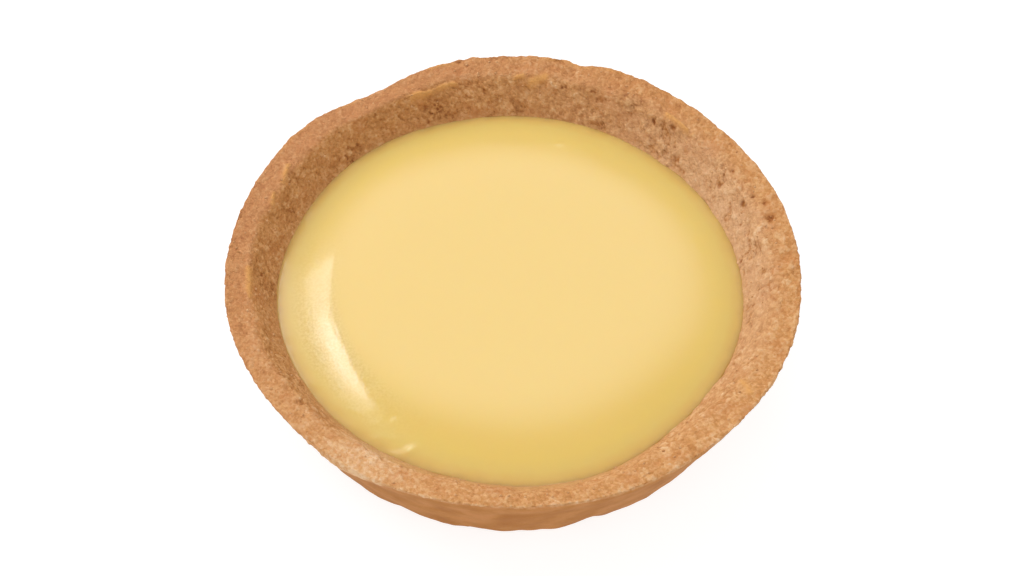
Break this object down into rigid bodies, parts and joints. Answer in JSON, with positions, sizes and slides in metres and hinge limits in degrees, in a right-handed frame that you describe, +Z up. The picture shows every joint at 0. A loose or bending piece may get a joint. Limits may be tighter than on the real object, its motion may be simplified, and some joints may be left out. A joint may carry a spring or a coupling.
{
  "type": "egg tart",
  "caption": "Small round open tart: a flared shortcrust shell with a flat base, filled below its rim with smooth set egg custard.",
  "frame": {"origin": "middle of the flat base, on the surface that the tart stands on", "axes": "+Z up through the custard; -Y is the front, the side turned to the viewer; +X to the viewer's right"},
  "size_m": [0.0753, 0.075, 0.0169],
  "materials": {
    "baked_shortcrust": "matte, sandy",
    "egg_custard": "glossy, smooth"
  },
  "bodies": {
    "root": {"crust": "baked_shortcrust", "custard": "egg_custard"}
  },
  "joints": []
}
